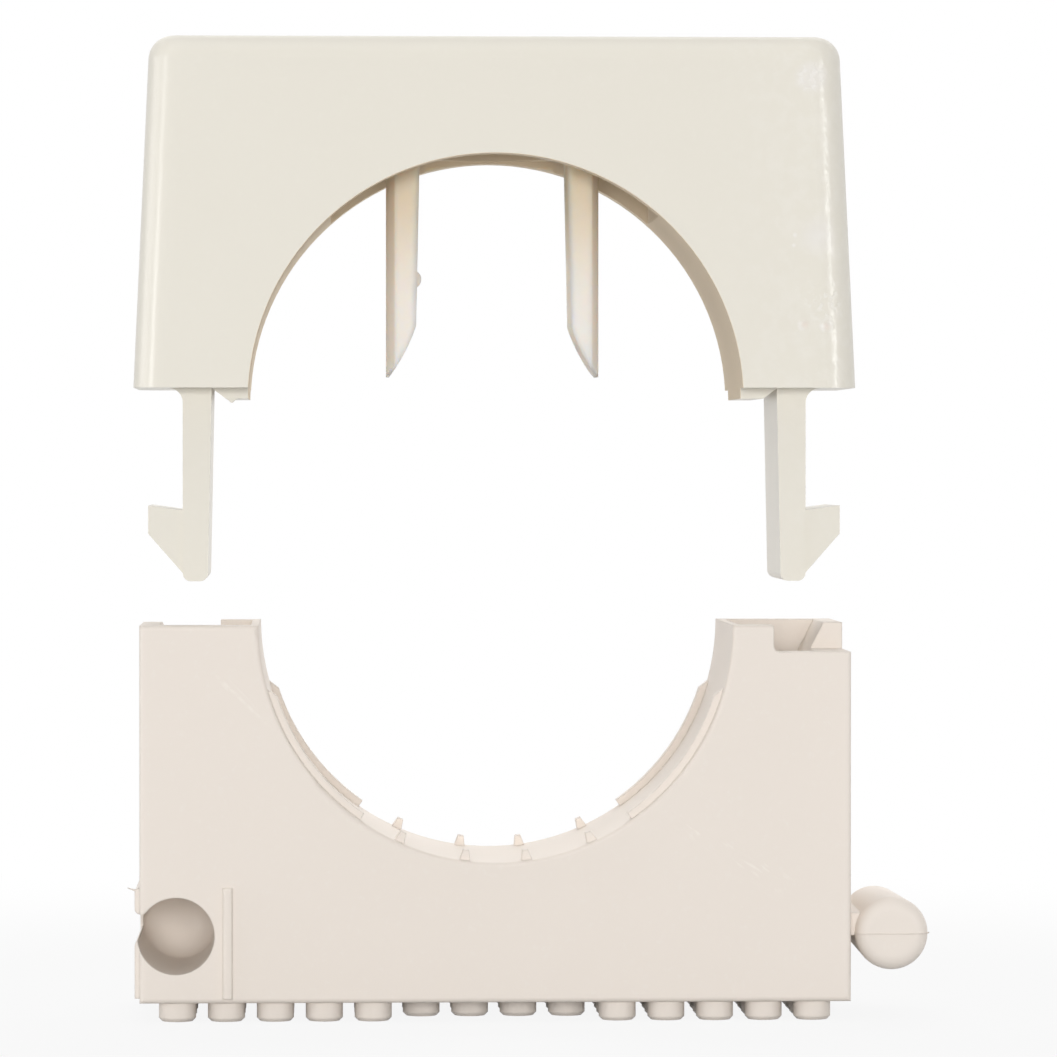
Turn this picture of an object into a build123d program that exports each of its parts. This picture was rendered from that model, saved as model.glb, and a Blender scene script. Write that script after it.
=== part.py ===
from build123d import *
import math
import os

# Two-piece moulded pipe clip, in millimetres. X runs across the clip, Y runs along
# the pipe with the front face at -Y, and Z is up. The origin is the middle of the
# stud field, level with the ends of the studs. The cap is drawn lifted off the base.

# Pipe and the room round it
pipe_diameter = 28.0
tooth_height = 0.65
arch_clearance = 1.3
arch_drop = 0.8

# Base block: walls and depths that add up to its outline
clip_depth = 15.5
saddle_floor = 8.65
tower_wall = 1.45
outer_wall = 2.33
base_edge_radius = 0.3

# Grip rails and teeth on the two rims of the saddle
rim_setback = 0.6
rim_width = 1.2
rail_height = 0.45
rail_low_angle = 35.0
rail_taper_angle = 72.0
rail_high_angle = 76.0
tooth_angles = (-24.0, -7.5, 7.5, 24.0)
tooth_root_width = 0.8
tooth_tip_width = 0.35

# Studs under the base
stud_pitch = 3.03
stud_diameter = 2.3
stud_height = 1.2
stud_chamfer = 0.2
stud_margin = 0.5
stud_gap_width = 12.0

# Link peg on the right, and the socket on the left that takes a neighbour's peg
link_height = 5.35
peg_radius = 2.28
peg_rear_radius = 2.1
peg_nose_radius = 0.9
peg_setback = 0.3
peg_web = 1.4
link_web_offset = 0.55
link_clearance = 0.1
link_gap = 0.05
socket_inset = 2.55
socket_back_wall = 1.3
pad_margin = 0.7
pad_thickness = 0.3
pad_edge_radius = 0.2
rib_width = 0.6
rib_gap = 0.5
lip_radius = 0.35
lip_inner_radius = 0.4

# Cap body
cap_overhang = 0.4
cap_side_draft = 1.0
cap_face_draft = 0.5
cap_corner_radius = 1.9
cap_top_radius = 1.5
cap_roof = 7.3
cap_wall = 1.8
cavity_width = 20.8
cavity_draft = 1.3

# Snap legs of the cap and the toes beside them
leg_thickness = 1.8
leg_taper = 0.25
leg_depth = 10.4
leg_length = 12.0
leg_root_radius = 0.9
leg_tip_radius = 0.5
barb_reach = 2.15
barb_flat = 1.75
barb_setback = 0.15
catch_drop = 7.6
catch_rise = 0.3
toe_height = 0.65
toe_run_out = 0.85

# Sprung prongs and the short tube they hang from
prong_radius = 6.7
prong_wall = 1.45
prong_tip_wall = 1.1
prong_width = 5.4
prong_tip_height = 0.75
prong_nose = 6.8
prong_nose_land = 0.2
tube_gap = 0.15
nub_radius = 0.6
nub_reach = 0.4
nub_setback = 0.1
nub_height = 6.85

# Fits between cap and base
lift_gap = 2.7
seat_gap = 0.05
leg_side_clearance = 0.25
leg_face_clearance = 0.3
catch_clearance = 0.12
tip_clearance = 0.4
toe_clearance = 0.15
flex_room_mouth = 1.47
flex_room_tip = 2.3
lead_in_width = 1.15
lead_in_height = 2.2

# Prising notch in one corner of each tower
notch_width = 4.8
notch_length = 6.2
notch_depth = 1.65
notch_radius = 0.4

# How far a joined shape is rooted in its neighbour, and a cut runs past a surface
root_embed = 0.3
cut_margin = 1.0

# Across the clip, from the pipe's axis outwards
pipe_radius = pipe_diameter / 2
saddle_radius = pipe_radius + tooth_height
arch_radius = pipe_radius + arch_clearance
pocket_inner = saddle_radius + tower_wall
leg_inner = pocket_inner + flex_room_mouth
leg_outer = leg_inner + leg_thickness
barb_outer = leg_outer + barb_reach
ledge_face = leg_outer + leg_face_clearance
half_width = ledge_face + outer_wall
base_width = 2 * half_width
side_face = -half_width - pad_thickness
socket_radius = peg_radius + link_clearance
socket_x = side_face + socket_inset
peg_x = half_width + socket_inset + link_gap
rib_x = socket_x + socket_radius + rib_gap + rib_width / 2

# Along the pipe, from the front
half_depth = clip_depth / 2
pocket_depth = leg_depth + 2 * leg_side_clearance
peg_front = -half_depth + peg_setback
peg_rear = half_depth - socket_back_wall - link_clearance - peg_rear_radius
socket_end = half_depth - socket_back_wall - socket_radius

# Upwards, from the ends of the studs
base_bottom = stud_height
base_height = saddle_floor + saddle_radius
base_top = base_bottom + base_height
pocket_floor = base_top - leg_length - tip_clearance
web_height = link_height + link_web_offset
pad_top = link_height + peg_radius + pad_margin
cap_bottom = base_top + leg_length + lift_gap
arch_centre = cap_bottom - arch_drop
crown = arch_centre + arch_radius
cap_top = crown + cap_roof
ceiling = cap_top - cap_wall

standing = (Align.CENTER, Align.CENTER, Align.MIN)


def box_between(low, high):
    """A box given by its lowest and highest corners."""
    size = [b - a for a, b in zip(low, high)]
    return Pos(*low) * Box(*size, align=(Align.MIN, Align.MIN, Align.MIN))


def prism_along_y(profile, length):
    """An XZ profile carried half its length to the front and half to the back."""
    return extrude(Plane.XZ * profile, amount=length / 2, both=True)


def pipe_cut(radius, height):
    """Cylinder along the pipe's direction that cuts right through the clip."""
    return Pos(0, 0, height) * Rot(90, 0, 0) * Cylinder(radius, clip_depth + 2 * cut_margin)


def turned_half(shape):
    """The same shape on the other side, turned half a turn about the upright axis."""
    return Rot(0, 0, 180) * shape


def on_saddle(radius, angle):
    """XZ point at a radius and an angle from straight down, about the pipe's axis."""
    turn = math.radians(angle)
    return (radius * math.sin(turn), base_top - radius * math.cos(turn))


def saddle_arc(radius, start, end):
    """Arc about the pipe's axis between two angles from straight down."""
    middle = (start + end) / 2
    return ThreePointArc(
        on_saddle(radius, start), on_saddle(radius, middle), on_saddle(radius, end)
    )


def base_block():
    """Block with the saddle cut through it, and its front and back faces edged round."""
    block = Pos(0, 0, base_bottom) * Box(base_width, clip_depth, base_height, align=standing)
    block -= pipe_cut(saddle_radius, base_top)
    faces = block.faces().sort_by(Axis.Y)
    return fillet(faces[0].edges() + faces[-1].edges(), base_edge_radius)


def grip_rail():
    """Section of one rail: square at its low end, run out to a point at its high end."""
    root = saddle_radius + root_embed
    top = saddle_radius - rail_height
    inner = saddle_arc(top, rail_low_angle, rail_taper_angle)
    run_out = Line(on_saddle(top, rail_taper_angle), on_saddle(root, rail_high_angle))
    outer = saddle_arc(root, rail_high_angle, rail_low_angle)
    end = Line(on_saddle(root, rail_low_angle), on_saddle(top, rail_low_angle))
    return make_face([inner, run_out, outer, end])


def grip_tooth(angle):
    """Section of one small pointed tooth, turned to its place round the saddle."""
    root = saddle_radius + root_embed
    outline = [
        (-tooth_root_width / 2, -root),
        (tooth_root_width / 2, -root),
        (tooth_tip_width / 2, -pipe_radius),
        (-tooth_tip_width / 2, -pipe_radius),
    ]
    return Pos(0, base_top) * Rot(0, 0, angle) * Polygon(*outline, align=None)


def saddle_grips():
    """Rails and teeth on the front rim, and the same on the back rim."""
    rail = grip_rail()
    sections = [rail, mirror(rail, about=Plane.YZ)]
    sections += [grip_tooth(angle) for angle in tooth_angles]
    rim_middle = half_depth - rim_setback - rim_width / 2
    grips = []
    for y in (-rim_middle, rim_middle):
        grips += [Pos(0, y, 0) * prism_along_y(section, rim_width) for section in sections]
    return grips


def ledge_underside(x):
    """Height of the catch ledge's underside, which follows the barb's sloping catch."""
    rise = catch_rise * (x - leg_outer) / barb_reach
    return base_top + seat_gap - catch_drop + rise + catch_clearance


def leg_pocket():
    """Room for one snap leg: lead-in ramp, catch ledge and side window in one cut."""
    side = half_width + cut_margin
    mouth_top = base_top + cut_margin
    mouth_outer = ledge_face + lead_in_width
    outline = [
        (pocket_inner, base_top),
        (pocket_inner, mouth_top),
        (mouth_outer, mouth_top),
        (mouth_outer, base_top),
        (ledge_face, base_top - lead_in_height),
        (ledge_face, ledge_underside(ledge_face)),
        (side, ledge_underside(side)),
        (side, pocket_floor),
        (leg_inner - flex_room_tip, pocket_floor),
    ]
    return prism_along_y(Polygon(*outline, align=None), pocket_depth)


def toe_recess():
    """Rebate behind the saddle's lip, where the cap's toe drops in."""
    floor = base_top - toe_height - toe_clearance
    return box_between(
        (arch_radius - toe_clearance, -pocket_depth / 2, floor),
        (leg_inner, pocket_depth / 2, base_top + cut_margin),
    )


def prising_notch():
    """Corner notch that lets a blade in under the cap's edge."""
    cut = box_between(
        (half_width - notch_width, -half_depth - cut_margin, base_top - notch_depth),
        (half_width + cut_margin, notch_length - half_depth, base_top + cut_margin),
    )
    corner = cut.edges().filter_by(Axis.Y).group_by(Axis.X)[0].sort_by(Axis.Z)[0]
    return fillet(corner, notch_radius)


def link_peg():
    """Tapered peg that slides into the next clip, edged round at the front, on its web."""
    cone = Cone(peg_radius, peg_rear_radius, peg_rear - peg_front, align=standing)
    rod = Pos(0, peg_front, 0) * Rot(-90, 0, 0) * cone + Pos(0, peg_rear, 0) * Sphere(peg_rear_radius)
    rod = fillet(rod.edges().sort_by(Axis.Y)[0], peg_nose_radius)
    web = box_between(
        (half_width - root_embed, peg_front + peg_nose_radius, web_height - peg_web / 2),
        (peg_x, socket_end - link_clearance, web_height + peg_web / 2),
    )
    return Pos(peg_x, 0, link_height) * rod + web


def socket_throat():
    """Section of the slot for a neighbour's web, with round lips at the side face."""
    width = peg_web + 2 * link_clearance
    length = socket_x - side_face + cut_margin
    slot = Pos(socket_x - length / 2, web_height) * Rectangle(length, width)
    flare = Pos(side_face - cut_margin / 2, web_height) * Rectangle(cut_margin, width + 2 * cut_margin)
    outline = slot + flare
    outline = fillet(outline.vertices().sort_by_distance((side_face, web_height, 0))[:2], lip_radius)
    room = outline + Pos(socket_x, link_height) * Circle(socket_radius)
    upper_lip = room.vertices().sort_by_distance((socket_x, web_height + width / 2, 0))[0]
    return fillet(upper_lip, lip_inner_radius)


def link_socket():
    """Blind round-ended socket for a neighbour's peg, with a throat for its web."""
    front = -half_depth - cut_margin
    bore = prism_along_y(socket_throat(), socket_end - front)
    end = Pos(socket_x, socket_end, link_height) * Sphere(socket_radius)
    return Pos(0, (front + socket_end) / 2, 0) * bore + end


def link_pad():
    """Thin raised pad on the side face round the throat."""
    half_length = half_depth - base_edge_radius
    pad = box_between(
        (side_face, -half_length, base_bottom + base_edge_radius),
        (root_embed - half_width, half_length, pad_top),
    )
    top_edge = pad.edges().filter_by(Axis.Y).group_by(Axis.X)[0].sort_by(Axis.Z)[-1]
    return chamfer(top_edge, pad_edge_radius)


def link_rib():
    """Upright rib on the front face that frames the socket, rounded off along its front."""
    rib = box_between(
        (rib_x - rib_width / 2, -half_depth - pad_thickness, base_bottom + base_edge_radius),
        (rib_x + rib_width / 2, root_embed - half_depth, pad_top),
    )
    front = rib.faces().sort_by(Axis.Y)[0]
    outline = front.edges().filter_by(Axis.Z) + [front.edges().sort_by(Axis.Z)[-1]]
    return fillet(outline, pad_edge_radius)


def stud():
    """One stud, standing down from the underside, with its end chamfered."""
    body = Cylinder(stud_diameter / 2, stud_height, align=standing)
    return chamfer(body.edges().group_by(Axis.Z)[0], stud_chamfer)


def studs_in(width):
    """How many studs fit side by side between the margins of a width."""
    return int((width - 2 * stud_margin - stud_diameter) / stud_pitch) + 1


def stud_field():
    """Grid of studs, less the middle of its front and back rows."""
    rows = studs_in(clip_depth)
    edge_row = (rows - 1) / 2 * stud_pitch
    one_stud = stud()
    field = []
    for place in GridLocations(stud_pitch, stud_pitch, studs_in(base_width), rows):
        at_edge = math.isclose(abs(place.position.Y), edge_row)
        if not at_edge or abs(place.position.X) > stud_gap_width / 2:
            field.append(place * one_stud)
    return field


def make_base():
    base = base_block()
    base += [link_pad(), link_rib(), link_peg()]
    base += saddle_grips()
    for cut in (leg_pocket(), toe_recess(), prising_notch()):
        base -= [cut, turned_half(cut)]
    base -= link_socket()
    base += stud_field()
    return base


def cap_shell():
    """Drafted outer body with round edges, hollow over the arch."""
    width = base_width + 2 * cap_overhang
    foot = RectangleRounded(width, clip_depth, cap_corner_radius)
    head = RectangleRounded(
        width - 2 * cap_side_draft, clip_depth - 2 * cap_face_draft, cap_corner_radius
    )
    shell = loft([Pos(0, 0, cap_bottom) * foot, Pos(0, 0, cap_top) * head], ruled=True)
    shell = fillet(shell.faces().sort_by(Axis.Z)[-1].edges(), cap_top_radius)
    plan = Pos(0, 0, cap_bottom) * Rectangle(cavity_width, clip_depth - 2 * cap_wall)
    return shell - extrude(plan, ceiling - cap_bottom, taper=cavity_draft)


def snap_leg():
    """One leg, thinner towards its round tip, with a barb set in from its front and back."""
    tip = cap_bottom - leg_length
    catch = cap_bottom - catch_drop
    root = cap_bottom + root_embed
    fillet_start = (leg_outer + leg_root_radius, cap_bottom)
    fillet_end = (leg_outer, cap_bottom - leg_root_radius)
    sides = Polyline(
        fillet_end,
        (leg_outer, tip),
        (leg_inner + leg_taper, tip),
        (leg_inner, cap_bottom),
        (leg_inner, root),
        (leg_outer + leg_root_radius, root),
        fillet_start,
    )
    root_fillet = RadiusArc(fillet_start, fillet_end, -leg_root_radius)
    shank = make_face([sides, root_fillet])
    shank = fillet(shank.vertices().group_by(Axis.Y)[0], leg_tip_radius)
    barb_top = catch + catch_rise
    barb_end = tip + leg_tip_radius
    barb_outline = [
        (leg_outer - root_embed, catch),
        (leg_outer, catch),
        (barb_outer, barb_top),
        (barb_outer, barb_top - barb_flat),
        (leg_outer, barb_end),
        (leg_outer - root_embed, barb_end),
    ]
    barb = prism_along_y(Polygon(*barb_outline, align=None), leg_depth - 2 * barb_setback)
    return prism_along_y(shank, leg_depth) + barb


def locating_toe():
    """Toe beside the leg that drops in behind the saddle's lip, run out towards the leg."""
    floor = cap_bottom - toe_height
    outline = [
        (arch_radius - cut_margin, cap_bottom + root_embed),
        (arch_radius - cut_margin, floor),
        (leg_inner - toe_run_out, floor),
        (leg_inner, cap_bottom),
        (leg_inner, cap_bottom + root_embed),
    ]
    return prism_along_y(Polygon(*outline, align=None), leg_depth)


def ring(low, high):
    """Length of the round tube, on the upright axis."""
    tube = Cylinder(prong_radius, high - low, align=standing)
    tube -= Cylinder(prong_radius - prong_wall, high - low, align=standing)
    return Pos(0, 0, low) * tube


def prong_outline(tip, top):
    """Side view of one prong: long on its outer side, nosed off on its inner side."""
    inner = prong_radius - prong_wall - cut_margin
    outer = prong_radius + cut_margin
    nose_start = (inner, tip + prong_nose)
    nose_end = (prong_radius - prong_nose_land, tip)
    sides = Polyline(nose_end, (outer, tip), (outer, top), (inner, top), nose_start)
    nose = TangentArc(nose_start, nose_end, tangent=(0, -1))
    return make_face([sides, nose])


def prongs(top):
    """The two prongs, as slices of the tube that get thinner as they reach down."""
    tip = cap_bottom + prong_tip_height
    slice_right = prism_along_y(prong_outline(tip, top), prong_width)
    bore = Cone(prong_radius - prong_tip_wall, prong_radius - prong_wall, top - tip, align=standing)
    tube = Cylinder(prong_radius, top - tip, align=standing) - bore
    right = Pos(0, 0, tip) * tube & slice_right
    return [right, turned_half(right)]


def gate_nub():
    """Small nub left on the inner front edge of the left prong."""
    inner = prong_radius - prong_tip_wall
    x = -math.sqrt(inner**2 - (prong_width / 2) ** 2) + nub_reach - nub_radius
    y = nub_radius + nub_setback - prong_width / 2
    return Pos(x, y, cap_bottom + nub_height) * Sphere(nub_radius)


def make_cap():
    toe = locating_toe()
    cap = cap_shell() + [toe, turned_half(toe)]
    cap -= pipe_cut(arch_radius, arch_centre)
    tube_top = ceiling + root_embed
    cap += ring(crown + tube_gap, tube_top)
    cap += prongs(tube_top)
    leg = snap_leg()
    cap += [leg, turned_half(leg), gate_nub()]
    return cap


os.makedirs("parts", exist_ok=True)
export_step(make_base(), "parts/base.step")
export_step(make_cap(), "parts/cap.step")
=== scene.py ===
# %% [markdown]
# # A two-piece pipe clip, taken apart
#
# The object is a small moulded clip that holds a 28 mm pipe. A base with a round saddle
# is fixed to the wall, and an arched cap with two barbed legs snaps into it from above.
# Both mouldings come from the imported CAD model with their true shapes, so this lesson
# does what the CAD leaves open: the finish of the two plastics, the thin moulding flash
# along the joints of the mould, the light and the camera.
#
# The imported model is loaded first.

import math

import bpy
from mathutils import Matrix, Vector


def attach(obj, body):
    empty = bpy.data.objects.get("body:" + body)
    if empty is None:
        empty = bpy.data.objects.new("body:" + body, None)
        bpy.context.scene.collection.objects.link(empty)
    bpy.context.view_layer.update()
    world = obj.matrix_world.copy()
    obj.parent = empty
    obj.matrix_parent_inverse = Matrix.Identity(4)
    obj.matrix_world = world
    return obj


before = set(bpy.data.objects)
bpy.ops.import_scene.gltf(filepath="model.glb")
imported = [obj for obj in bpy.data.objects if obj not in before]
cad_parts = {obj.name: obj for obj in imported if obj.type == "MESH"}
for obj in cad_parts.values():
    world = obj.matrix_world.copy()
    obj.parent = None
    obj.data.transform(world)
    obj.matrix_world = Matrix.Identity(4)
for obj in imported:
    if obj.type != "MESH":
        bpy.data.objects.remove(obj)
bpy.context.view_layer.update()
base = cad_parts["base"]
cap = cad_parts["cap"]


# %% [markdown]
# ## Camera
#
# The photo looks at the front face from a little left of the middle: it shows the inner
# right wall of the arch, the tops of the towers and the underside of the arch. So the
# lens stands to the left, level with the gap between the two pieces. Edges that run along
# the pipe shrink by about 4 %, which puts the lens some 25 clip depths away. The camera is
# turned to the middle of the picture, not shifted, so that views from other sides stay
# centred.

# %% Place the camera
mm = 0.001
photo_scale = 16.2 / mm
photo_width = 1057
front_face = -7.75 * mm
lens_distance = 345 * mm
lens_place = Vector((-11 * mm, front_face - lens_distance, 34.7 * mm))
picture_middle = Vector((2.0 * mm, front_face, 30.5 * mm))

bpy.ops.object.camera_add(location=lens_place)
camera = bpy.context.object
camera.name = "camera"
line_of_sight = picture_middle - lens_place
camera.rotation_euler = line_of_sight.to_track_quat("-Z", "Y").to_euler()
camera.data.sensor_width = 36
camera.data.lens = camera.data.sensor_width * line_of_sight.length * photo_scale / photo_width
camera.data.clip_start = 10 * mm
camera.data.clip_end = 20
bpy.context.scene.camera = camera
bpy.context.scene.view_settings.view_transform = "Standard"
print("lens", round(camera.data.lens, 1), "mm")

# %% [markdown]
# ## Shader maths
#
# Blender's node editor turns every sum into a Math node, and a long chain of those is
# hard to read. This small class wraps a socket, so that an ordinary Python expression
# such as `1 - mask * 0.3` adds the nodes by itself. All other nodes come from its one
# method `node`, which takes the node's type, its settings and what goes into its sockets.


# %% A socket that can be reckoned with
class Socket:
    """A value in a node tree. Sums and products of values add Math nodes."""

    def __init__(self, tree, socket):
        self.tree = tree
        self.socket = socket

    def node(self, kind, settings, inputs, output=0):
        made = self.tree.nodes.new(kind)
        for name, setting in settings.items():
            setattr(made, name, setting)
        for name, value in inputs.items():
            if isinstance(value, Socket):
                self.tree.links.new(value.socket, made.inputs[name])
            else:
                made.inputs[name].default_value = value
        return Socket(self.tree, made.outputs[output])

    def math(self, operation, *values):
        return self.node("ShaderNodeMath", {"operation": operation}, dict(enumerate(values)))

    def __add__(self, other):
        return self.math("ADD", self, other)

    def __radd__(self, other):
        return self.math("ADD", other, self)

    def __sub__(self, other):
        return self.math("SUBTRACT", self, other)

    def __rsub__(self, other):
        return self.math("SUBTRACT", other, self)

    def __mul__(self, other):
        return self.math("MULTIPLY", self, other)

    def __rmul__(self, other):
        return self.math("MULTIPLY", other, self)

    def step(self, start, end):
        """Rises smoothly from 0 to 1 as the value goes from start to end."""
        edges = {"Value": self, "From Min": start, "From Max": end}
        return self.node("ShaderNodeMapRange", {"interpolation_type": "SMOOTHSTEP"}, edges)

    def mix(self, first, second):
        """Colour that goes from first to second as this value goes from 0 to 1."""
        inputs = {0: self, 6: first, 7: second}
        return self.node("ShaderNodeMix", {"data_type": "RGBA"}, inputs, 2)


def new_material(name):
    """A material with its tree emptied, and the socket of its output node."""
    material = bpy.data.materials.new(name)
    material.use_nodes = True
    material.node_tree.nodes.clear()
    output = material.node_tree.nodes.new("ShaderNodeOutputMaterial")
    return material, output.inputs["Surface"]


def place_on(tree):
    """Place on the object, in metres of the shared frame."""
    coordinates = tree.nodes.new("ShaderNodeTexCoord")
    return Socket(tree, coordinates.outputs["Object"])


print("shader maths ready")

# %% [markdown]
# ## Room: white background, floor and soft light
#
# The photo is a catalogue picture: pure white all round, even light in the room and most
# of it from the side of the camera. A world that is white for everything would flood the
# undersides too, so it is white only where the camera or a reflection looks at it, and
# gives less light to the rest. Light Path tells these rays apart.
#
# The floor works the same way: to the camera it is mostly plain white, and for the rest
# it is a grey board, so it throws a little light up under the arch and keeps the clip's
# shadow.


# %% White world
def seen_directly(tree):
    """1 for rays from the camera, from reflections and through glass, else 0."""
    path = tree.nodes.new("ShaderNodeLightPath")
    names = ("Is Camera Ray", "Is Glossy Ray", "Is Transmission Ray")
    camera_ray, glossy_ray, glass_ray = [Socket(tree, path.outputs[name]) for name in names]
    either = camera_ray.math("MAXIMUM", camera_ray, glossy_ray)
    return either.math("MAXIMUM", either, glass_ray)


white = (1, 1, 1, 1)
room_light = (0.40, 0.40, 0.40, 1)

world = bpy.data.worlds.new("white_room")
world.use_nodes = True
world.node_tree.nodes.clear()
seen = seen_directly(world.node_tree)
room_colour = seen.mix(room_light, white)
room = seen.node("ShaderNodeBackground", {}, {"Color": room_colour, "Strength": 1})
world_output = world.node_tree.nodes.new("ShaderNodeOutputWorld")
world.node_tree.links.new(room.socket, world_output.inputs["Surface"])
bpy.context.scene.world = world
print("world", world.name)

# %% Floor
floor_radius = 3
floor_grey = (0.45, 0.45, 0.45, 1)
shadow_share = 0.1
shadow_full = 40 * mm
shadow_end = 120 * mm

bpy.ops.object.select_all(action="DESELECT")
bpy.ops.mesh.primitive_circle_add(vertices=96, radius=floor_radius, fill_type="NGON")
floor = bpy.context.object
floor.name = "floor"
floor_white, floor_surface = new_material("floor_white")
seen = seen_directly(floor_white.node_tree)
board = seen.node("ShaderNodeBsdfDiffuse", {}, {"Color": floor_grey})
glow = seen.node("ShaderNodeEmission", {}, {"Color": white, "Strength": 1})
away = place_on(floor_white.node_tree)
distance = away.node("ShaderNodeVectorMath", {"operation": "LENGTH"}, {0: away}, "Value")
shadowed = 1 - distance.step(shadow_full, shadow_end)
covered = seen * (1 - shadow_share * shadowed)
surface = seen.node("ShaderNodeMixShader", {}, {0: covered, 1: board, 2: glow})
floor_white.node_tree.links.new(surface.socket, floor_surface)
floor.data.materials.append(floor_white)
print("floor", floor.name, floor_radius, "m in radius")

# %% [markdown]
# Soft lamps do the rest. The main one stands near the camera, so its light reaches into
# the link socket and between the studs and leaves the walls of the arch dim, as in the
# photo. One behind and above makes the tops of the towers bright, and one overhead softens
# the shadows. One on the left lights the legs, and one behind on the right keeps that side
# from going grey without touching the front corner. The camera does not see the lamps, and
# those in front and behind do not show in the gloss either.
#
# Two narrow upright lamps do the opposite. They draw the bright lines on the cap's round
# corners and light nothing else, because a lamp strong enough to show as a line in the
# gloss would also light up half of the front. They stand hardly higher than the top of the
# cap, so that it does not glare when it is seen from behind.


# %% Lamps
def soft_lamp(name, place, size, power, mirrored=True, lights=True):
    """Rectangular lamp that faces the clip, and may show in its gloss or only there."""
    bpy.ops.object.light_add(type="AREA", location=place)
    lamp = bpy.context.object
    lamp.name = name
    lamp.rotation_euler = (clip_middle - Vector(place)).to_track_quat("-Z", "Y").to_euler()
    lamp.data.shape = "RECTANGLE"
    lamp.data.size, lamp.data.size_y = size
    lamp.data.energy = power
    lamp.visible_camera = False
    lamp.visible_glossy = mirrored
    lamp.visible_diffuse = lights
    print("lamp", name, power, "W")


clip_middle = Vector((0, 0, 0.03))
soft_lamp("lamp_front", (-0.03, -1.00, 0.10), (0.40, 0.24), 6.0, mirrored=False)
soft_lamp("lamp_behind", (0.00, 0.70, 0.60), (0.80, 0.50), 6.0, mirrored=False)
soft_lamp("lamp_overhead", (-0.05, -0.15, 0.85), (0.70, 0.60), 1.1)
soft_lamp("lamp_left", (-0.80, -0.05, 0.10), (0.50, 0.16), 1.2)
soft_lamp("lamp_right", (0.68, 0.45, 0.12), (0.50, 0.16), 1.5, mirrored=False)
soft_lamp("lamp_left_corner", (-0.48, -0.385, 0.07), (0.035, 0.06), 0.7, lights=False)
soft_lamp("lamp_right_corner", (0.40, -0.46, 0.07), (0.035, 0.06), 0.9, lights=False)

# %% [markdown]
# ## Cap: semi-gloss ivory plastic
#
# The cap comes from a polished mould, so its corners show soft bright lines. It is not
# perfect: the colour drifts a little, the faces are slightly uneven, and the right end of
# the front face is worn, with two shallow pinkish dents over the leg, a scuff near the top
# and two specks between. Some of that colour is painted light. The dents are painted
# darker as painted shade, and their rims, a soft halo and a spot on the corner's bright
# line are painted paler as painted highlights. Patterns on Object coordinates give all
# this its real size. Heights of the bumps are in millimetres.


# %% Noise and round marks
def noise(place, wavelength, detail=2.0):
    """Soft noise between 0 and 1 whose bumps are about one wavelength wide."""
    inputs = {"Vector": place, "Scale": 1 / wavelength, "Detail": detail, "Roughness": 0.5}
    return place.node("ShaderNodeTexNoise", {}, inputs, "Fac")


def spot(place, middle, radius, softness=1.0):
    """Round mark about a point given in millimetres: 1 inside, 0 outside."""
    ends = {0: place, 1: [step * mm for step in middle]}
    distance = place.node("ShaderNodeVectorMath", {"operation": "DISTANCE"}, ends, "Value")
    return distance.step(radius * mm, radius * (1 - softness) * mm)


print("noise and round marks ready")

# %% Cap wear
cap_plastic, cap_surface = new_material("ivory_semi_gloss")
place = place_on(cap_plastic.node_tree)
across = place.node("ShaderNodeSeparateXYZ", {}, {0: place}, "X")
depth = place.node("ShaderNodeSeparateXYZ", {}, {0: place}, "Y")
level = place.node("ShaderNodeSeparateXYZ", {}, {0: place}, "Z")

drift = noise(place, 14 * mm)
speckle = noise(place, 0.5 * mm, 3.0)
uneven = noise(place, 6 * mm)
grain = noise(place, 0.25 * mm)

left_dent = (19.1, -7.66, 43.1)
right_dent = (20.45, -7.6, 43.0)
dents = spot(place, left_dent, radius=0.45) + spot(place, right_dent, radius=0.4)
# The dent rims are raised a little in the bumps and painted paler as painted highlights.
left_ring = spot(place, left_dent, radius=0.62, softness=0.5)
right_ring = spot(place, right_dent, radius=0.55, softness=0.5)
dent_rims_and_highlight = (left_ring + right_ring - dents) * noise(place, 0.7 * mm).step(0.42, 0.62)
# This spot lies on the corner's bright line: its paler colour is a painted highlight, its roughness
# and bumps are wear.
worn_and_highlight_spot = spot(place, (20.4, -7.5, 44.4), radius=1.7, softness=0.8)
scuffed = spot(place, (19.55, -7.4, 58.4), radius=1.3, softness=0.6)
# The halo is a painted highlight: a soft pale glow beside the right corner's bright line.
painted_highlight_halo = spot(place, (19.9, -7.5, 48.6), radius=1.6)
marks = (worn_and_highlight_spot + scuffed) * noise(place, 0.45 * mm, 3.0).step(0.48, 0.66)
front = depth.step(-4.5 * mm, -6.0 * mm)
mottled = front * across.step(12 * mm, 19 * mm) * noise(place, 0.8 * mm, 4.0).step(0.4, 0.7)
wavy = front * across.step(17.5 * mm, 20 * mm) * noise(place, 1.2 * mm, 3.0)
upper_speck = spot(place, (18.5, -7.5, 48.65), radius=0.22)
lower_speck = spot(place, (18.43, -7.5, 48.0), radius=0.2)
specks = upper_speck + lower_speck
print("cap wear", len(cap_plastic.node_tree.nodes), "nodes")

# %% Cap colour
cap_ivory = (0.782, 0.744, 0.658, 1)
cap_ivory_light = (0.798, 0.764, 0.681, 1)
cap_fleck = (0.82, 0.79, 0.71, 1)
dent_shade_pink = (0.80, 0.70, 0.63, 1)
scuff_and_sheen_grey = (0.83, 0.80, 0.78, 1)
wear_and_highlight_white = (0.92, 0.90, 0.87, 1)

ivory = drift.mix(cap_ivory, cap_ivory_light)
ivory = (speckle.step(0.55, 0.8) * 0.25).mix(ivory, cap_fleck)
# Painted shade: the dents are painted a darker pink for the shade in their hollows.
ivory = (dents * 0.6).mix(ivory, dent_shade_pink)
# Painted highlight in the halo; the scuff near the top gets the same pale grey as real wear.
ivory = (painted_highlight_halo * 0.5 + scuffed * 0.4).mix(ivory, scuff_and_sheen_grey)
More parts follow.
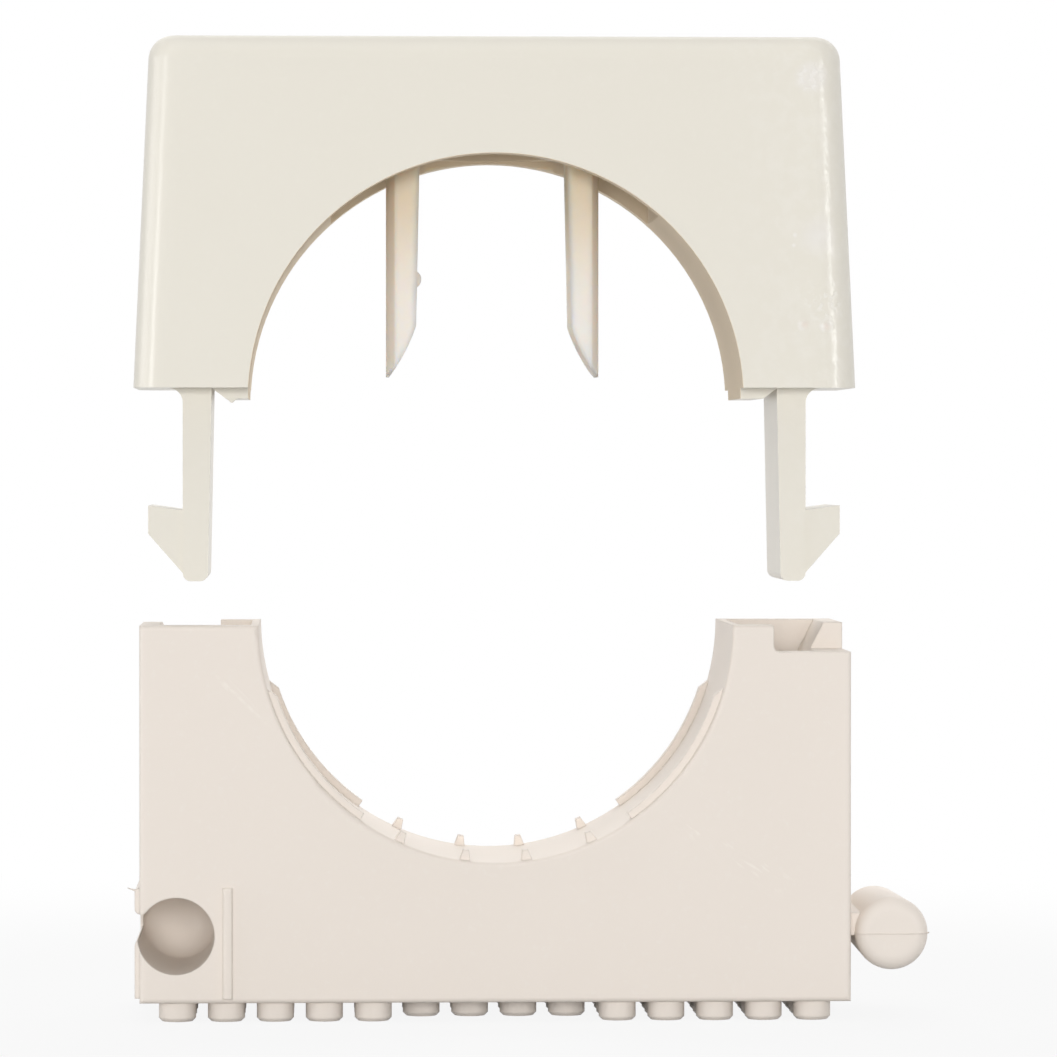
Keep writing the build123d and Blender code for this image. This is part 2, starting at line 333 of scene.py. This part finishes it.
# Paler marks: the dent rims and the worn spot on the corner's bright line are painted highlights,
# the rest is wear.
wear_and_highlight_pale = marks * 0.38 + dent_rims_and_highlight * 0.5 + specks * 0.6 + mottled * 0.12
ivory = wear_and_highlight_pale.mix(ivory, wear_and_highlight_white)
print("cap colour", len(cap_plastic.node_tree.nodes), "nodes")

# %% [markdown]
# The core of the mould shapes the arch and the hollow above it. It is not polished, so
# those faces are matte. Their colour is also tinted dark amber. This is painted shade for
# the shade and warm bounced light inside the arch, and it reaches the tops of the prongs too.
# Two masks tell them apart: one by the distance from the middle of the arch, one by a box
# round the hollow.
#
# The two prongs are thin, and light creeps through them. They are painted paler towards
# their tips, a painted glow for that light. They also have a second shader with subsurface
# scattering, which a Mix Shader shows on the prongs alone: on the whole cap it would take
# long and show little. A Bevel node rounds the prongs' edges in the shading. The roughness
# stays over 0.28 everywhere, because the denoiser leaves hard-edged blotches where it goes
# lower in patches.

# %% Core side and prongs
arch_centre = 38.4 * mm
arch_reach = 15.31 * mm
hollow_half_width = 10.5 * mm
hollow_half_depth = 6.0 * mm
hollow_ceiling = 59.3 * mm
prong_reach = 6.9 * mm
prong_root = 53.4 * mm
paling_start = 53 * mm
paling_end = 44 * mm
painted_shade_amber = (0.78, 0.57, 0.32, 1)
painted_glow_pale = (0.92, 0.87, 0.83, 1)


def within(value, limit, edge=0.1 * mm):
    """1 up to a limit and 0 beyond it, with a soft edge between."""
    return value.step(limit + edge, limit)


from_arch = place.node("ShaderNodeMapping", {}, {"Vector": place, "Scale": (1, 0, 1)})
arch_middle = {0: from_arch, 1: (0, 0, arch_centre)}
arch_distance = place.node("ShaderNodeVectorMath", {"operation": "DISTANCE"}, arch_middle, "Value")
in_arch = within(arch_distance, arch_reach, 0.03 * mm)
between_ends = within(across.math("ABSOLUTE", across), hollow_half_width)
between_faces = within(depth.math("ABSOLUTE", depth), hollow_half_depth)
in_hollow = between_ends * between_faces * within(level, hollow_ceiling, 0.2 * mm)
core_matte_and_shade = place.math("MAXIMUM", in_arch, in_hollow)
from_axis = place.node("ShaderNodeMapping", {}, {"Vector": place, "Scale": (1, 1, 0)})
axis_distance = place.node("ShaderNodeVectorMath", {"operation": "LENGTH"}, {0: from_axis}, "Value")
prong = within(axis_distance, prong_reach) * within(level, prong_root, 0.2 * mm)
painted_glow_mask = prong * level.step(paling_start, paling_end)
# Painted shade: the arch, the hollow and the prong tops are tinted dark amber for the shade inside
# the arch.
ivory = (core_matte_and_shade * 0.42).mix(ivory, painted_shade_amber)
# Painted glow: the prongs are painted paler towards their tips, for light shining through them.
ivory = (painted_glow_mask * 0.85).mix(ivory, painted_glow_pale)
print("core side and prongs", len(cap_plastic.node_tree.nodes), "nodes")


# %% Cap shader
def plastic(colour, roughness, height, edges, creep=0.0):
    """Principled shader for a moulded plastic that light creeps into by so many metres."""
    bump = {"Strength": 1.0, "Distance": mm, "Height": height, "Normal": edges}
    normal = height.node("ShaderNodeBump", {}, bump)
    inputs = {
        "Base Color": colour,
        "Roughness": roughness,
        "Normal": normal,
        "IOR": 1.48,
        "Specular IOR Level": 0.4,
        "Subsurface Weight": 1.0 if creep else 0.0,
        "Subsurface Radius": (creep, 0.8 * creep, 0.6 * creep),
        "Subsurface Scale": 1.0,
    }
    return height.node("ShaderNodeBsdfPrincipled", {}, inputs)


prong_edge_radius = 0.55 * mm
creep = 1.2 * mm

roughness = 0.285 + 0.04 * uneven + 0.10 * marks + 0.40 * core_matte_and_shade
height = 0.02 * uneven + 0.08 * wavy + 0.0012 * grain - 0.05 * dents
height = height + 0.03 * dent_rims_and_highlight - 0.02 * marks + 0.02 * specks
prong_edge = place.node("ShaderNodeBevel", {"samples": 12}, {"Radius": prong_edge_radius})
face = place.node("ShaderNodeNewGeometry", {}, {}, "Normal")
chosen = {0: prong, 4: face, 5: prong_edge}
edges = place.node("ShaderNodeMix", {"data_type": "VECTOR"}, chosen, 1)
solid = plastic(ivory, roughness, height, edges)
glowing = plastic(ivory, roughness, height, edges, creep)
shader = place.node("ShaderNodeMixShader", {}, {0: prong, 1: solid, 2: glowing})
cap_plastic.node_tree.links.new(shader.socket, cap_surface)

cap.data.materials.clear()
cap.data.materials.append(cap_plastic)
print("cap finish", len(cap_plastic.node_tree.nodes), "nodes")

# %% [markdown]
# ## Base: satin ivory plastic
#
# The base is the same plastic in a plainer mould: a fine eroded texture, so it shines
# less, and a touch pinker. Handling has left faint scratches on its front face, all falling
# to the right: a band of short ones on the right and a long one under the left tower. A
# scratch is a soft straight mark. Noise that is drawn out along the same line breaks it up.
# No moulded edge is quite sharp, so a Bevel node rounds them in the shading by a tenth of
# a millimetre or so.


# %% Straight marks
def on_front(place, x, z, fall):
    """Place on the front face from a point in millimetres, with X along a falling line."""
    middle = {0: place, 1: (x * mm, 0, z * mm)}
    centred = place.node("ShaderNodeVectorMath", {"operation": "SUBTRACT"}, middle)
    turned = {"Vector": centred, "Rotation": (0, math.radians(-fall), 0)}
    return place.node("ShaderNodeMapping", {"vector_type": "POINT"}, turned)


def streak(line, length, width):
    """Soft straight mark along the X of a place on the front face, in millimetres."""
    along = line.node("ShaderNodeSeparateXYZ", {}, {0: line}, "X")
    across = line.node("ShaderNodeSeparateXYZ", {}, {0: line}, "Z")
    depth = line.node("ShaderNodeSeparateXYZ", {}, {0: line}, "Y")
    from_middle = along.math("ABSOLUTE", along).step(length / 2 * mm, length / 4 * mm)
    from_line = across.math("ABSOLUTE", across).step(width / 2 * mm, 0)
    on_face = depth.step(front_face + 0.55 * mm, front_face + 0.25 * mm)
    return from_middle * from_line * on_face


def drawn_out(line, stretch):
    """The same place squeezed along its X, so that noise on it makes long marks."""
    squeezed = {"Vector": line, "Scale": (1 / stretch, 1, 1)}
    return line.node("ShaderNodeMapping", {"vector_type": "POINT"}, squeezed)


print("straight marks ready")

# %% Base scratches
base_plastic, base_surface = new_material("ivory_satin")
place = place_on(base_plastic.node_tree)

drift = noise(place, 14 * mm)
speckle = noise(place, 0.4 * mm, 3.0)
grain = noise(place, 0.22 * mm, 3.0)
uneven = noise(place, 8 * mm)

band_line = on_front(place, x=14.9, z=10.3, fall=33)
band_grain = drawn_out(on_front(place, x=15.0, z=10.2, fall=38), stretch=6)
band_marks = noise(band_grain, 0.2 * mm, 1.0).step(0.55, 0.68)
band_gaps = noise(place, 1.2 * mm).step(0.38, 0.52)
band = streak(band_line, length=10.0, width=2.2) * band_marks * band_gaps
long_line = on_front(place, x=-15.7, z=19.95, fall=44)
long_gaps = noise(place, 0.6 * mm).step(0.3, 0.6)
long_mark = streak(long_line, length=5.2, width=0.32) * long_gaps
side_marks = noise(drawn_out(long_line, stretch=9), 0.22 * mm, 1.0).step(0.6, 0.7)
side = streak(long_line, length=4.5, width=2.6) * side_marks * 0.5
scratches = band + long_mark + side
print("base scratches", len(base_plastic.node_tree.nodes), "nodes")

# %% Base finish
base_ivory = (0.808, 0.738, 0.668, 1)
base_ivory_light = (0.834, 0.764, 0.696, 1)
base_fleck = (0.85, 0.80, 0.74, 1)
scratch_pale = (0.92, 0.87, 0.80, 1)
edge_rounding = 0.15 * mm

ivory = drift.mix(base_ivory, base_ivory_light)
ivory = (speckle.step(0.55, 0.8) * 0.3).mix(ivory, base_fleck)
ivory = (scratches * 0.4).mix(ivory, scratch_pale)
roughness = 0.42 + 0.10 * uneven + 0.12 * scratches
height = 0.012 * uneven + 0.003 * grain - 0.006 * scratches
edges = place.node("ShaderNodeBevel", {"samples": 4}, {"Radius": edge_rounding})
shader = plastic(ivory, roughness, height, edges)
base_plastic.node_tree.links.new(shader.socket, base_surface)

base.data.materials.clear()
base.data.materials.append(base_plastic)
print("base finish", len(base_plastic.node_tree.nodes), "nodes")

# %% [markdown]
# ## Moulding flash
#
# Where the halves of a mould meet, a little plastic creeps into the joint and leaves a
# thin fin. The link peg lies half in each mould half, so a fine line runs round it at
# mid height, with a small nub on its right. It is made as a thin plate inside the peg: a
# block as wide as the peg, narrower at its rear, with its upright edges rounded like the
# peg's ends, that stands out of the peg by a few hundredths of a millimetre.


# %% Helpers for modelling by hand
finishes = {"base": (base_plastic, "base_plastic"), "cap": (cap_plastic, "cap_plastic")}


def start_piece(add, **settings):
    """Adds a primitive with nothing else selected, and goes into edit mode."""
    bpy.ops.object.select_all(action="DESELECT")
    add(**settings)
    bpy.ops.object.mode_set(mode="EDIT")
    bpy.ops.mesh.select_mode(type="FACE")
    return bpy.context.object


def select_where(piece, test, kind="FACE"):
    """Selects the faces or edges whose middle passes a test."""
    bpy.ops.mesh.select_mode(type=kind)
    bpy.ops.mesh.select_all(action="DESELECT")
    bpy.ops.object.mode_set(mode="OBJECT")
    mesh = piece.data
    places = [piece.matrix_world @ vertex.co for vertex in mesh.vertices]
    for item in {"FACE": mesh.polygons, "EDGE": mesh.edges}[kind]:
        corners = [places[index] for index in item.vertices]
        item.select = test(sum(corners, Vector()) / len(corners))
    bpy.ops.object.mode_set(mode="EDIT")


def finish_piece(piece, name, body, bevel):
    """Rounds the edges, puts the piece's place into its mesh, and lets it ride on a body."""
    bpy.ops.mesh.select_all(action="SELECT")
    bpy.ops.mesh.normals_make_consistent(inside=False)
    bpy.ops.object.mode_set(mode="OBJECT")
    piece.name = name
    bpy.ops.object.transform_apply(location=True, rotation=True, scale=True)
    rounding = piece.modifiers.new("rounding", "BEVEL")
    rounding.width = bevel
    rounding.segments = 2
    bpy.ops.object.modifier_apply(modifier=rounding.name)
    bpy.ops.object.shade_smooth_by_angle(angle=math.radians(40))
    material, slot = finishes[body]
    piece.data.materials.append(material)
    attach(piece, body)
    print("piece", name, len(piece.data.polygons), "faces, rides on", body)


print("helpers ready")

# %% Parting line of the link peg
peg_x = 24.6 * mm
peg_height = 5.35 * mm
peg_front = -7.45 * mm
peg_end = 6.35 * mm
front_radius = 2.28 * mm
rear_radius = 2.1 * mm
edge_radius = 0.9 * mm
flash_reach = 0.035 * mm
flash_thickness = 0.07 * mm
nub_shift = (0.07 * mm, 0, 0.03 * mm)
fin_bevel = 0.012 * mm
nearly = 0.01 * mm
almost_half = 0.999

half_width = front_radius + flash_reach
plate_front = peg_front - flash_reach
plate_end = peg_end + flash_reach
plate_middle = (peg_x, (plate_front + plate_end) / 2, peg_height)
peg_flash = start_piece(bpy.ops.mesh.primitive_cube_add, size=1, location=plate_middle)
bpy.ops.transform.resize(value=(2 * half_width, plate_end - plate_front, flash_thickness))
select_where(peg_flash, lambda p: p.y > plate_end - nearly)
rear_half_width = rear_radius + flash_reach
bpy.ops.transform.resize(value=(rear_half_width / half_width, 1, 1))
select_where(peg_flash, lambda p: p.y > plate_end - nearly and abs(p.x - peg_x) > mm, "EDGE")
bpy.ops.mesh.bevel(offset=almost_half * rear_half_width, segments=12, affect="EDGES")
select_where(peg_flash, lambda p: p.y < plate_front + nearly and abs(p.x - peg_x) > mm, "EDGE")
bpy.ops.mesh.bevel(offset=edge_radius, segments=6, affect="EDGES")
nub_side = peg_x + 0.95 * half_width
nub_start = plate_front + 0.6 * edge_radius
nub_end = peg_front + edge_radius
select_where(peg_flash, lambda p: p.x > nub_side and nub_start < p.y < nub_end)
bpy.ops.mesh.extrude_region_move(TRANSFORM_OT_translate={"value": nub_shift})
finish_piece(peg_flash, "peg_parting_line", "base", fin_bevel)

# %% [markdown]
# Two more bits of flash show in the photo. A sliver stands up and to the left from the top
# of the link pad, and a small tongue hangs under the left toe of the cap, low enough to be
# clear of the base when the clip is shut. Each is a small block whose far face is drawn in
# to a point, and the sliver's point is also moved up.


# %% Flash sliver on the link pad and tongue under the toe
def flash_point(name, body, low, high, tip_axis, tip_scale, lean):
    """Small block between two corners in millimetres, drawn in to a point at its low end."""
    middle = [(a + b) / 2 * mm for a, b in zip(low, high)]
    size = [(b - a) * mm for a, b in zip(low, high)]
    piece = start_piece(bpy.ops.mesh.primitive_cube_add, size=1, location=middle)
    bpy.ops.transform.resize(value=size)
    far = middle[tip_axis] - size[tip_axis] * 0.4
    select_where(piece, lambda p: p[tip_axis] < far)
    bpy.ops.transform.resize(value=tip_scale)
    bpy.ops.transform.translate(value=[step * mm for step in lean])
    finish_piece(piece, name, body, min(size) * 0.1)


sliver = [(-22.75, -7.35, 8.05), (-22.15, -7.0, 8.2)]
tongue = [(-16.72, -5.2, 38.28), (-15.93, -5.0, 38.62)]
flash_point("pad_flash", "base", *sliver, tip_axis=0, tip_scale=(1, 0.3, 0.3), lean=(0, 0, 0.2))
flash_point("toe_flash", "cap", *tongue, tip_axis=2, tip_scale=(0.15, 0.5, 1), lean=(0, 0, 0))
